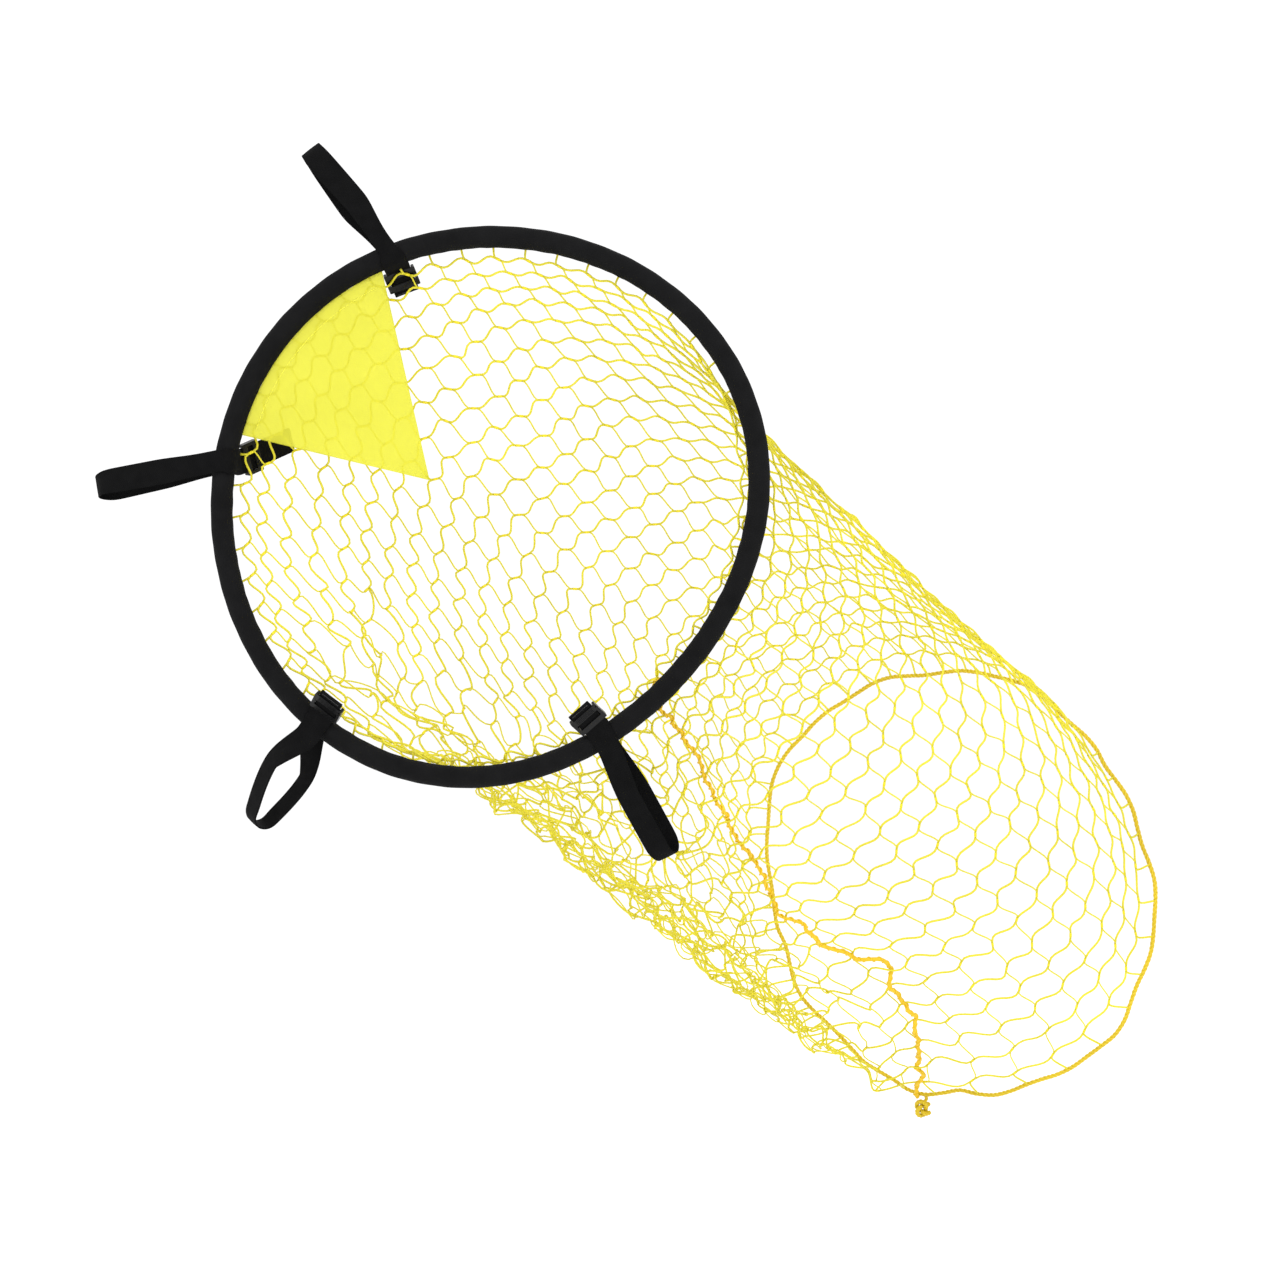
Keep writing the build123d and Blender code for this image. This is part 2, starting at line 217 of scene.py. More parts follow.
# Studio
FLOOR_HALF = 60.0
FLOOR_Z = -0.95
SKY_STRENGTH = 1.08
LAMP_SIZE = 2.0
LAMP_TARGET = (0.2, 0.1, -0.15)
LAMPS = (
    ("key_light", (-1.8, -2.6, 2.4), 60.0),
    ("fill_light", (2.4, -2.2, 0.8), 25.0),
    ("back_light", (0.5, 2.8, 2.2), 30.0),
)
CAMERA_AT = (0.149, -2.2, -0.133)
SENSOR_W = 36.0
LENS = 62.46

BACK = np.array((0.0, 1.0, 0.0))


# ------------------------------------------------------------------ small helpers


def hoop_dir(angle):
    """The direction at an angle in the hoop's plane."""
    return np.array((math.cos(math.radians(angle)), 0.0, math.sin(math.radians(angle))))


def rim_radius(angle):
    """From the origin to the rim's centre line, which the net pulls a little out of round."""
    lobes = (height * np.cos(np.radians(times * (angle - first))) for times, height, first in HOOP_LOBES)
    return HOOP_R + sum(lobes)


def rim_frames(angle):
    """Points on the rim's centre line, and the outward and along-the-rim directions; arrays are allowed."""
    angle = np.asarray(angle, float)
    radius = rim_radius(angle)
    slope = -sum(
        times * height * np.sin(np.radians(times * (angle - first))) for times, height, first in HOOP_LOBES
    )
    c, s, zero = np.cos(np.radians(angle)), np.sin(np.radians(angle)), np.zeros_like(angle)
    outward = np.stack([c, zero, s], -1)
    around = np.stack([-s, zero, c], -1)
    along = unit(around * radius[..., None] + outward * slope[..., None])
    return outward * radius[..., None], np.cross(BACK, along), along


def unit(v):
    """A vector, or each vector of an array, at length 1."""
    v = np.asarray(v, float)
    return v / np.maximum(np.linalg.norm(v, axis=-1, keepdims=True), 1e-12)


def smooth(t):
    """0 below 0, 1 above 1 and a smooth step between."""
    t = np.clip(t, 0.0, 1.0)
    return t * t * (3 - 2 * t)


def rotate_about(v, axis, degrees):
    """Vector or vectors v turned about a unit axis."""
    c, s = math.cos(math.radians(degrees)), math.sin(math.radians(degrees))
    return v * c + np.cross(axis, v) * s + np.multiply.outer(v @ axis, axis) * (1 - c)


def new_object(name, verts, faces, uvs=None, shade_smooth=True):
    """A mesh object from arrays; uvs holds one pair per face corner."""
    mesh = bpy.data.meshes.new(name)
    mesh.from_pydata(np.asarray(verts, float).tolist(), [], [list(map(int, f)) for f in faces])
    if uvs is not None:
        layer = mesh.uv_layers.new(name="UVMap")
        layer.data.foreach_set("uv", np.asarray(uvs, np.float32).ravel())
    mesh.polygons.foreach_set("use_smooth", [shade_smooth] * len(mesh.polygons))
    mesh.update()
    obj = bpy.data.objects.new(name, mesh)
    bpy.context.scene.collection.objects.link(obj)
    return obj


def path_frames(paths, closed):
    """Two normals carried along each path without twisting; paths is (count, points, 3)."""
    if closed:
        tangents = unit(np.roll(paths, -1, axis=1) - np.roll(paths, 1, axis=1))
    else:
        tangents = unit(np.gradient(paths, axis=1))
    helper = np.where(np.abs(tangents[:, 0, 2:3]) < 0.8, [[0.0, 0.0, 1.0]], [[1.0, 0.0, 0.0]])
    normal = unit(np.cross(tangents[:, 0], helper))
    normals = [normal]
    for i in range(1, paths.shape[1]):
        t = tangents[:, i]
        normal = unit(normal - t * (normal * t).sum(-1, keepdims=True))
        normals.append(normal)
    normals = np.stack(normals, axis=1)
    return normals, np.cross(tangents, normals)


def lengths_along(paths):
    """Distance from each path's first point to each of its points."""
    steps = np.linalg.norm(np.diff(paths, axis=-2), axis=-1)
    return np.concatenate([np.zeros_like(steps[..., :1]), np.cumsum(steps, axis=-1)], axis=-1)


def quad_uvs(u0, u1, v0, v1):
    """The uv pairs of quads' corners, from the two u and the two v of each quad."""
    corners = ((u0, v0), (u1, v0), (u1, v1), (u0, v1))
    return np.stack([np.stack(corner, -1) for corner in corners], -2).reshape(-1, 2)


def tube_faces(count, points, sides, closed=False):
    """Quads of count tubes of so many points and sides, and a cap on each open end."""
    base = np.arange(count)[:, None, None] * points * sides
    i = np.arange(points if closed else points - 1)[None, :, None]
    k = np.arange(sides)[None, None, :]
    here, ahead, beside = base + i * sides, base + (i + 1) % points * sides, (k + 1) % sides
    quads = np.stack([here + k, here + beside, ahead + beside, ahead + k], axis=-1)
    faces = quads.reshape(-1, 4).tolist()
    if closed:
        return faces
    for first in range(0, count * points * sides, points * sides):
        end = first + (points - 1) * sides
        faces.append(list(range(first + sides - 1, first - 1, -1)))
        faces.append(list(range(end, end + sides)))
    return faces


def tube_uvs(paths, sides, closed):
    """u from 0 to 1 round each tube and v along it in metres; the caps get zeros."""
    along = lengths_along(paths)
    if closed:
        closing = np.linalg.norm(paths[:, -1] - paths[:, 0], axis=-1)
        along = np.concatenate([along, along[:, -1:] + closing[:, None]], axis=1)
    shape = (len(paths), along.shape[1] - 1, sides)
    u = np.broadcast_to(np.arange(sides) / sides, shape)
    v0 = np.broadcast_to(along[:, :-1, None], shape)
    v1 = np.broadcast_to(along[:, 1:, None], shape)
    uvs = quad_uvs(u, u + 1.0 / sides, v0, v1)
    if closed:
        return uvs
    return np.concatenate([uvs, np.zeros((2 * len(paths) * sides, 2))])


def tubes(paths, radii, sides=CORD_SIDES, closed=False):
    """Round tubes along paths (count, points, 3) with radii (count, points): verts, faces and uvs."""
    paths = np.asarray(paths, float)
    count, points = paths.shape[:2]
    radii = np.broadcast_to(np.asarray(radii, float), (count, points))
    normals, binormals = path_frames(paths, closed)
    turn = (2 * np.pi * np.arange(sides) / sides)[:, None]
    ring = normals[:, :, None] * np.cos(turn) + binormals[:, :, None] * np.sin(turn)
    verts = (paths[:, :, None] + ring * radii[:, :, None, None]).reshape(-1, 3)
    return verts, tube_faces(count, points, sides, closed), tube_uvs(paths, sides, closed)


def joined(parts):
    """Several (verts, faces, uvs) as one."""
    verts, faces, uvs, first = [], [], [], 0
    for v, f, u in parts:
        verts.append(v)
        faces += [[i + first for i in face] for face in f]
        uvs.append(u)
        first += len(v)
    return np.concatenate(verts), faces, np.concatenate(uvs)


def spline(points, samples, closed=False):
    """A Catmull-Rom line through the points, sampled evenly in length."""
    p = np.asarray(points, float)
    n = len(p)
    dense = []
    spans = n if closed else n - 1
    for i in range(spans):
        if closed:
            a, b, c, d = p[(i - 1) % n], p[i], p[(i + 1) % n], p[(i + 2) % n]
        else:
            a, b, c, d = p[max(i - 1, 0)], p[i], p[i + 1], p[min(i + 2, n - 1)]
        t = np.linspace(0, 1, 16, endpoint=False)[:, None]
        square = (2 * a - 5 * b + 4 * c - d) * t**2
        cube = (3 * b - a - 3 * c + d) * t**3
        dense.append(0.5 * (2 * b + (c - a) * t + square + cube))
    dense = np.concatenate(dense + [p[:1] if closed else p[-1:]])
    return resample(dense, samples, closed)


def resample(line, samples, closed=False):
    """The line at points evenly spaced in length."""
    along = lengths_along(line)
    where = np.linspace(0, along[-1], samples, endpoint=not closed)
    return np.stack([np.interp(where, along, line[:, k]) for k in range(line.shape[1])], axis=1)


def twisted_strands(line, strands, reach, radius, pitch, closed=False):
    """Strands laid round a line as in a rope."""
    line = np.asarray(line, float)
    normals, binormals = (n[0] for n in path_frames(line[None], closed))
    along = lengths_along(line)
    total = along[-1] + (np.linalg.norm(line[-1] - line[0]) if closed else 0.0)
    turns = total / pitch
    if closed:
        turns = round(turns)
    phase = 2 * np.pi * turns * along / total
    paths = []
    for k in range(strands):
        angle = (phase + 2 * np.pi * k / strands)[:, None]
        paths.append(line + reach * (normals * np.cos(angle) + binormals * np.sin(angle)))
    return tubes(paths, radius, closed=closed)


# ------------------------------------------------------------------ materials


class Nodes:
    """Builds one material's nodes."""

    def __init__(self, name):
        self.material = bpy.data.materials.new(name)
        self.material.use_nodes = True
        self.tree = self.material.node_tree
        self.bsdf = self.tree.nodes["Principled BSDF"]

    def add(self, kind, **values):
        node = self.tree.nodes.new(kind)
        for key, value in values.items():
            if key in node.inputs:
                node.inputs[key].default_value = value
            else:
                setattr(node, key, value)
        return node

    def link(self, out, into):
        self.tree.links.new(out, into)

    def math(self, operation, a, b=None):
        node = self.add("ShaderNodeMath", operation=operation)
        for socket, value in zip(node.inputs, (a, b)):
            if value is None:
                continue
            if isinstance(value, (int, float)):
                socket.default_value = value
            else:
                self.link(value, socket)
        return node.outputs[0]

    def coordinates(self, kind="Object"):
        return self.add("ShaderNodeTexCoord").outputs[kind]

    def split(self, vector):
        node = self.add("ShaderNodeSeparateXYZ")
        self.link(vector, node.inputs[0])
        return node.outputs

    def noise(self, vector, scale, detail=3.0, roughness=0.5):
        node = self.add("ShaderNodeTexNoise", Scale=scale, Detail=detail, Roughness=roughness)
        self.link(vector, node.inputs["Vector"])
        return node.outputs["Fac"]

    def ramp(self, factor, low, high, start=0.0, end=1.0):
        node = self.add("ShaderNodeValToRGB")
        node.color_ramp.elements[0].position = start
        node.color_ramp.elements[1].position = end
        node.color_ramp.elements[0].color = (*low, 1)
        node.color_ramp.elements[1].color = (*high, 1)
        self.link(factor, node.inputs["Fac"])
        return node.outputs["Color"]

    def bump(self, height, distance, strength=1.0):
        node = self.add("ShaderNodeBump", Distance=distance, Strength=strength)
        self.link(height, node.inputs["Height"])
        self.link(node.outputs["Normal"], self.bsdf.inputs["Normal"])

    def colour(self, out):
        self.link(out, self.bsdf.inputs["Base Color"])

    def set(self, **values):
        for key, value in values.items():
            self.bsdf.inputs[key.replace("_", " ")].default_value = value

    def translucent(self, colour_out, share):
        """Lets part of the light through, as thin cloth or cord does."""
        back = self.add("ShaderNodeBsdfTranslucent")
        self.link(colour_out, back.inputs["Color"])
        mix = self.add("ShaderNodeMixShader", Fac=share)
        output = self.tree.nodes["Material Output"]
        self.link(self.bsdf.outputs[0], mix.inputs[1])
        self.link(back.outputs[0], mix.inputs[2])
        self.link(mix.outputs[0], output.inputs["Surface"])

    def see_through(self, tint, share):
        """Lets what lies behind show faintly through a thin cloth."""
        output = self.tree.nodes["Material Output"]
        surface = output.inputs["Surface"].links[0].from_socket
        clear = self.add("ShaderNodeBsdfTransparent", Color=tint)
        mix = self.add("ShaderNodeMixShader", Fac=share)
        self.link(surface, mix.inputs[1])
        self.link(clear.outputs[0], mix.inputs[2])
        self.link(mix.outputs[0], output.inputs["Surface"])


def half_up(n, value):
    """From the range -1 to 1 to the range 0 to 1."""
    return n.math("ADD", n.math("MULTIPLY", value, 0.5), 0.5)


def ridges(n, value, pitch):
    """A sine that repeats every pitch."""
    return n.math("SINE", n.math("MULTIPLY", value, 2 * math.pi / pitch))


def mixed(n, a, share_a, b, share_b):
    """Two values added in shares."""
    return n.math("ADD", n.math("MULTIPLY", a, share_a), n.math("MULTIPLY", b, share_b))


def woven_height(n, u, v, pitch):
    """Plain weave: threads in two directions that go over and under each other."""
    return half_up(n, n.math("MULTIPLY", ridges(n, u, pitch), ridges(n, v, pitch)))


def sleeve_material():
    n = Nodes("sleeve_fabric")
    u, v, _ = n.split(n.coordinates("UV"))
    weave = woven_height(n, u, v, SLEEVE_WEAVE)
    cloud = n.noise(n.coordinates(), 60.0, 4.0)
    lint = n.noise(n.coordinates(), 900.0, 2.0)
    tone = mixed(n, cloud, 0.6, weave, 0.4)
    n.colour(n.ramp(tone, (0.002, 0.002, 0.0022), (0.008, 0.008, 0.0085), 0.2, 0.85))
    n.bump(n.math("ADD", weave, n.math("MULTIPLY", lint, 0.5)), 0.0002, 0.7)
    n.set(Roughness=0.86, Specular_IOR_Level=0.11)
    return n.material


def webbing_material():
    """Ribbed strap: u runs across in metres, v along."""
    n = Nodes("webbing")
    u, v, _ = n.split(n.coordinates("UV"))
    skew = n.math("ABSOLUTE", n.math("SUBTRACT", n.math("MODULO", u, CHEVRON_PITCH), CHEVRON_PITCH / 2))
    ribs = ridges(n, n.math("ADD", v, skew), RIB_PITCH)
    height = half_up(n, mixed(n, ribs, 0.65, ridges(n, u, THREAD_PITCH), 0.35))
    cloud = n.noise(n.coordinates(), 90.0, 4.0)
    tone = mixed(n, height, 0.5, cloud, 0.5)
    n.colour(n.ramp(tone, (0.0015, 0.0015, 0.0016), (0.006, 0.006, 0.0063), 0.25, 0.8))
    n.bump(height, 0.00035, 0.8)
    n.set(Roughness=0.75, Specular_IOR_Level=0.06)
    return n.material


def plastic_material():
    n = Nodes("buckle_plastic")
    where = n.coordinates()
    grain = n.noise(where, 1400.0, 2.0)
    cloud = n.noise(where, 120.0, 3.0)
    n.colour(n.ramp(cloud, (0.003, 0.003, 0.0032), (0.007, 0.007, 0.0075)))
    rough = n.ramp(cloud, (0.22, 0.22, 0.22), (0.38, 0.38, 0.38))
    n.link(rough, n.bsdf.inputs["Roughness"])
    n.bump(grain, 0.00005, 0.5)
    n.set(Specular_IOR_Level=0.22)
    return n.material


def panel_material():
    n = Nodes("panel_cloth")
    u, v, _ = n.split(n.coordinates("UV"))
    weave = woven_height(n, u, v, PANEL_WEAVE)
    cloud = n.noise(n.coordinates(), 18.0, 3.0)
    fine = n.noise(n.coordinates(), 300.0, 2.0)
    tone = mixed(n, cloud, 0.75, weave, 0.25)
    colour = n.ramp(tone, (0.69, 0.675, 0.055), (0.77, 0.755, 0.08), 0.25, 0.8)
    n.colour(colour)
    n.bump(n.math("ADD", weave, n.math("MULTIPLY", fine, 0.3)), 0.00012, 0.6)
    n.set(Roughness=0.62, Sheen_Weight=0.15)
    n.translucent(colour, 0.35)
    n.see_through((0.97, 0.96, 0.42, 1.0), 0.42)
    return n.material


def cord_material(name, dark, light, stripe_pitch, clear):
    """Braided cord: slanting stripes from the uvs, u round the cord and v along it in metres."""
    n = Nodes(name)
    u, v, _ = n.split(n.coordinates("UV"))
    along = n.math("MULTIPLY", v, 2 * math.pi / stripe_pitch)
    around = n.math("MULTIPLY", u, 4 * math.pi)
    lay = n.math("SINE", n.math("ADD", along, around))
    against = n.math("SINE", n.math("SUBTRACT", along, around))
    braid = half_up(n, n.math("MULTIPLY", lay, against))
    cloud = n.noise(n.coordinates(), 14.0, 3.0)
    colour = n.ramp(mixed(n, cloud, 0.85, braid, 0.15), dark, light, 0.25, 0.75)
    n.colour(colour)
    n.bump(braid, 0.0002, 0.6)
    n.set(Roughness=0.45, Specular_IOR_Level=0.4)
    n.translucent(colour, clear)
    return n.material


def thread_material(name, dark, light):
    n = Nodes(name)
    where = n.coordinates()
    grain = n.noise(where, 1800.0, 3.0)
    n.colour(n.ramp(grain, dark, light, 0.3, 0.7))
    n.bump(grain, 0.0001, 0.6)
    n.set(Roughness=0.7, Sheen_Weight=0.2)
    return n.material


def foam_material():
    n = Nodes("foam")
    cells = n.add("ShaderNodeTexVoronoi", Scale=900.0)
    n.link(n.coordinates(), cells.inputs["Vector"])
    n.colour(n.ramp(cells.outputs["Distance"], (0.03, 0.03, 0.03), (0.09, 0.09, 0.09)))
    n.bump(cells.outputs["Distance"], 0.0004, 0.8)
    n.set(Roughness=0.95)
    return n.material


def metal_material(name, dark, light, rough):
    n = Nodes(name)
    scratches = n.noise(n.coordinates(), 700.0, 4.0, 0.7)
    n.colour(n.ramp(scratches, dark, light, 0.3, 0.7))
    n.bump(scratches, 0.00004, 0.5)
    n.set(Metallic=1.0, Roughness=rough)
    return n.material


def floor_material():
    n = Nodes("floor_paint")
    cloud = n.noise(n.coordinates(), 1.5, 2.0)
    n.colour(n.ramp(cloud, (0.96, 0.96, 0.96), (0.98, 0.98, 0.98)))
    n.set(Roughness=0.9)
    return n.material


SLEEVE_FABRIC = sleeve_material()
WEBBING = webbing_material()
PLASTIC = plastic_material()
CLOTH = panel_material()
NET_CORD = cord_material("net_cord", (0.74, 0.67, 0.025), (0.90, 0.83, 0.06), 0.009, 0.35)
NET_JOINT = cord_material("net_joint", (0.78, 0.67, 0.010), (0.94, 0.82, 0.018), 0.006, 0.2)
SEAM_CORD = cord_material("seam_cord", (0.74, 0.47, 0.006), (0.90, 0.62, 0.012), 0.007, 0.15)
ROPE = cord_material("tail_rope", (0.66, 0.47, 0.010), (0.82, 0.62, 0.022), 0.008, 0.15)
BLACK_THREAD = thread_material("black_thread", (0.010, 0.010, 0.010), (0.035, 0.035, 0.036))
PANEL_THREAD = thread_material("panel_thread", (0.74, 0.72, 0.03), (0.90, 0.88, 0.08))


def dress(obj, material):
    """Gives a piece its one material."""
    obj.data.materials.clear()
    obj.data.materials.append(material)
    return obj


def stands_for(obj, node, body):
    """The piece replaces a CAD node and moves with a body."""
    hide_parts(node)
    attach(obj, body)


# ------------------------------------------------------------------ hoop sleeve


def sleeve_skin(rings, sides, radius_at, inward=False):
    """A tube round the rim; radius_at gives its radius from the angle round the hoop and round the tube."""
    phi = 360.0 * np.arange(rings) / rings
    p, t = np.meshgrid(np.radians(phi), 2 * np.pi * np.arange(sides) / sides, indexing="ij")
    points, outward, _ = rim_frames(phi)
    away = outward[:, None] * np.cos(t)[..., None] + BACK * np.sin(t)[..., None]
    verts = (points[:, None] + away * radius_at(p, t)[..., None]).reshape(-1, 3)
    i, k = np.meshgrid(np.arange(rings), np.arange(sides), indexing="ij")
    i2, k2 = (i + 1) % rings, (k + 1) % sides
    faces = np.stack([i * sides + k, i2 * sides + k, i2 * sides + k2, i * sides + k2], -1).reshape(-1, 4)
    around, along = 2 * math.pi * SLEEVE_R / sides, 2 * math.pi * HOOP_R / rings
    ends = [(k, i), (k, i + 1), (k + 1, i + 1), (k + 1, i)]
    uvs = np.stack([np.stack([a * around, b * along], -1) for a, b in ends], -2)
    if inward:
        faces, uvs = faces[:, ::-1], uvs[..., ::-1, :]
    return verts, faces.tolist(), uvs.reshape(-1, 2)


def sleeve_outside(p, t):
    """Small ripples, and a pressed seam ridge on the inner rear side."""
    off = (t - math.radians(180.0 - SLEEVE_SEAM_DEG) + np.pi) % (2 * np.pi) - np.pi
    ridge = SEAM_RIDGE * np.exp(-((off / 0.14) ** 2))
    near_seam = np.exp(-((off / 1.5) ** 2))
    ripple = 0.00016 * np.sin(97 * p + 1.5 * np.sin(11 * p)) * near_seam
    ripple += 0.00012 * np.sin(61 * p + 2 * t) + 0.0001 * np.sin(23 * p - 3 * t + 2)
    return SLEEVE_R - 0.0002 + ridge + ripple


def hoop_sleeve():
    """The fabric tube round the rim, with its inside."""
    outer = sleeve_skin(900, 28, sleeve_outside)
    inner = sleeve_skin(300, 20, lambda p, t: np.full_like(t, SLEEVE_INNER_R), inward=True)
    obj = dress(new_object("hoop_sleeve_cloth", *joined([outer, inner])), SLEEVE_FABRIC)
    stands_for(obj, "hoop_sleeve", "hoop")


def sleeve_stitches():
    """Lock stitches along the sleeve's closing seam."""
    share = np.linspace(-1.0, 1.0, 5)
    middles = 360.0 * np.arange(SLEEVE_STITCHES)[:, None] / SLEEVE_STITCHES
    points, outward, _ = rim_frames(middles + SLEEVE_STITCH_HALF_DEG * share)
    lean = math.radians(SLEEVE_SEAM_DEG)
    away = BACK * math.sin(lean) - outward * math.cos(lean)
    lift = SLEEVE_R + SEAM_RIDGE - STITCH_ARCH * share**2
    paths = points + away * lift[:, None]
    obj = dress(new_object("sleeve_seam_thread", *tubes(paths, SLEEVE_THREAD_R)), BLACK_THREAD)
    stands_for(obj, "sleeve_stitching", "hoop")


# ------------------------------------------------------------------ straps


def strap_frames(strap):
    """The strap's base point and its loop, wrap and tail directions."""
    base, outward, tangent = rim_frames(strap["at"])
    lean = math.radians(strap["lean"])
    tail = BACK * math.sin(lean) - outward * math.cos(lean)
    normal = np.cross(tangent, -tail)
    along = rotate_about(tail, -normal, strap["turn"])
    return {
        "base": base,
        "outward": outward,
        "tangent": tangent,
        "loop": hoop_dir(strap["points"]),
        "loop_width": hoop_dir(strap["points"] + 90),
        "tail": tail,
        "normal": normal,
        "along": along,
        "tail_width": -np.cross(along, normal),
    }


def twist_at(distance, strap):
    """How far the loop's two sides have turned about its line, in radians."""
    tip = strap["reach"] - LIMB_TIP_R
    turns = (0.0, strap["twist"], strap["tip_twist"])
    return math.radians(np.interp(distance, (TWIST_START, 0.5 * tip, tip), turns))


def tail_steps(strap, f, side):
    """One layer of the doubled tail from its cut end to the rim; side is -1 in front and 1 behind."""
    start = f["base"] + f["tail"] * TAIL_START
    steps = []
    for distance in np.linspace(strap["tail"] - TAIL_CUT, TAIL_START + TAIL_OPENS, 14):
        point = start + f["along"] * (distance - TAIL_START) + f["normal"] * side * LAYER_OFFSET
        steps.append((point, f["tail_width"]))
    return steps


def wrap_steps(strap, f, side):
    """From the tail's start round the rim to the loop, in front or behind, where the webbing has to bend."""
    contact = 180.0 - strap["lean"] - side * TAIL_CONTACT
    top = 90.0 if side > 0 else 270.0
    if (contact - top) * side <= 0:
        return []
    steps = []
    for k in range(9):
        share = k / 8
        angle = math.radians(contact + (top - contact) * share)
        point = f["base"] + LIMB_OFFSET * (f["outward"] * math.cos(angle) + BACK * math.sin(angle))
        steps.append((point, f["tangent"] * (1 - share) + f["loop_width"] * share))
    return steps


def loop_step(f, reach, height, twist):
    """A point of the loop by its reach and its height off the middle, and the width direction there."""
    up = BACK * math.cos(twist) + f["loop_width"] * math.sin(twist)
    width = f["loop_width"] * math.cos(twist) - BACK * math.sin(twist)
    return f["base"] + f["loop"] * reach + up * height, width


def loop_steps(strap, f):
    """Out along the loop's front, round its tip and back along its rear."""
    tip = strap["reach"] - LIMB_TIP_R

    def limb(distance, side):
        bulge = strap["bulge"] * math.sin(math.pi * distance / tip)
        return loop_step(f, distance, side * (LIMB_OFFSET + bulge), twist_at(distance, strap))

    def bend(angle):
        height = -LIMB_OFFSET * math.cos(angle)
        return loop_step(f, tip + LIMB_OFFSET * math.sin(angle), height, twist_at(tip, strap))

    steps = [limb(distance, -1) for distance in np.linspace(LOOP_START, tip, 30)]
    steps += [bend(angle) for angle in np.linspace(0, math.pi, 17)[1:-1]]
    steps += [limb(distance, 1) for distance in np.linspace(tip, LOOP_START, 30)]
    return steps


def strap_line(strap):
    """The webbing's centre line and width direction, from one end of the tail round the loop to the other."""
    f = strap_frames(strap)
    front = tail_steps(strap, f, -1) + wrap_steps(strap, f, -1)
    rear = tail_steps(strap, f, 1) + wrap_steps(strap, f, 1)
    steps = front + loop_steps(strap, f) + rear[::-1]
    line = np.array([np.concatenate([point, unit(width)]) for point, width in steps])
    along = lengths_along(line[:, :3])
    where = np.linspace(0, along[-1], LINE_POINTS)
    line = np.stack([np.interp(where, along, line[:, k]) for k in range(6)], axis=1)
    for _ in range(LINE_SMOOTHINGS):
        line[1:-1] = 0.5 * line[1:-1] + 0.25 * (line[:-2] + line[2:])
    return keep_off_rim(line[:, :3]), unit(line[:, 3:]), where


def keep_off_rim(points):
    """Pushes webbing out of the sleeve."""
    rim, _, _ = rim_frames(np.degrees(np.arctan2(points[:, 2], points[:, 0])))
    away = points - rim
    distance = np.linalg.norm(away, axis=1, keepdims=True)
    least = SLEEVE_R + WEBBING_HALF_T + RIM_GAP
    return np.where(distance < least, rim + unit(away) * least, points)


def webbing_section():
    """The band's outline: flat, with rounded and slightly thicker edges."""
    w, t = WEBBING_HALF_W, WEBBING_HALF_T
    edge = [(0.0, 0.0), (0.00035, -0.75 * t), (0.0011, -1.06 * t), (0.0022, -0.9 * t)]
    half = [(x - w, y) for x, y in edge]
    half += [(x, -0.9 * t) for x in np.linspace(-w + 0.004, w - 0.004, 7)]
    half += [(w - x, y) for x, y in reversed(edge)]
    return np.array(half + [(x, -y) for x, y in half[-2:0:-1]])


def webbing_share(strap, f, points):
    """How much of its width the band keeps: it is drawn together at its tip and beside the hoop."""
    reach = (points - f["base"]) @ f["loop"]
    at_tip = 1.0 - 0.13 * np.exp(-(((strap["reach"] - reach) / 0.011) ** 2))
    beside_hoop = smooth((reach + 0.008) / 0.014) * (1 - smooth((reach - 0.022) / 0.045))
    return at_tip * (1.0 - (1.0 - strap["waist"]) * beside_hoop)


def webbing(name, strap):
    """A flat band along the strap's line, with a slight waver in its middle."""
    points, widths, where = strap_line(strap)
    tangents = unit(np.gradient(points, axis=0))
    widths = unit(widths - tangents * (widths * tangents).sum(1, keepdims=True))
    normals = np.cross(tangents, widths)
    section = webbing_section()
    across, thick = section[None, :, :1], section[None, :, 1:]
    waver = 0.0003 * np.sin(where * 210 + strap["at"]) + 0.0002 * np.sin(where * 430)
    waver = waver[:, None, None] * (1 - (across / WEBBING_HALF_W) ** 2)
    share = webbing_share(strap, strap_frames(strap), points)[:, None, None]
    verts = points[:, None] + widths[:, None] * across * share + normals[:, None] * (thick + waver)
    sides, rings = len(section), len(points)
    i, k = np.meshgrid(np.arange(rings - 1), np.arange(sides), indexing="ij")
    u = np.append(section[:, 0], section[0, 0]) + WEBBING_HALF_W
    uvs = quad_uvs(u[k], u[k + 1], where[i], where[i + 1])
    uvs = np.concatenate([uvs, np.zeros((2 * sides, 2))])
    band = new_object(f"{name}_webbing", verts.reshape(-1, 3), tube_faces(1, rings, sides), uvs)
    dress(band, WEBBING)
    stands_for(band, f"{name}_strap", f"{name}_strap")


def bar_tack(name, strap):
    """A dense zigzag of thread on both faces of the tail's end."""
    f = strap_frames(strap)
    start = f["base"] + f["tail"] * TAIL_START
    middle = start + f["along"] * (strap["tail"] - TAIL_START - TACK_INSET)
    parts = []
    for side in (-1, 1):
        lift = side * (LAYER_OFFSET + WEBBING_HALF_T + TACK_LIFT)
        zigzag = []
        for k in range(TACK_STEPS + 1):
            across = (k / TACK_STEPS - 0.5) * TACK_WIDTH
            along = TACK_HALF * (1 if k % 2 else -1)
            zigzag.append(middle + f["tail_width"] * across + f["along"] * along + f["normal"] * lift)
        parts.append(tubes([zigzag], TACK_THREAD_R))
    obj = dress(new_object(f"{name}_tack_thread", *joined(parts)), BLACK_THREAD)
    stands_for(obj, f"{name}_bar_tack", f"{name}_strap")


# ------------------------------------------------------------------ cloth panel


def panel_edge(a):
    """The sewn edge, from its upper end at 0 to its lower end at 1."""
    point, outward, _ = rim_frames(PANEL_FROM + (PANEL_TO - PANEL_FROM) * a)
    return point - outward * PANEL_INSET


def panel_axes():
    """The middle of the sewn edge's chord, and the direction from there towards the tip."""
    first, last = panel_edge(0.0), panel_edge(1.0)
    chord = unit(last - first)
    inward = np.cross(chord, BACK)
    middle = (first + last) / 2
    if inward @ middle > 0:
        inward = -inward
    return middle, inward


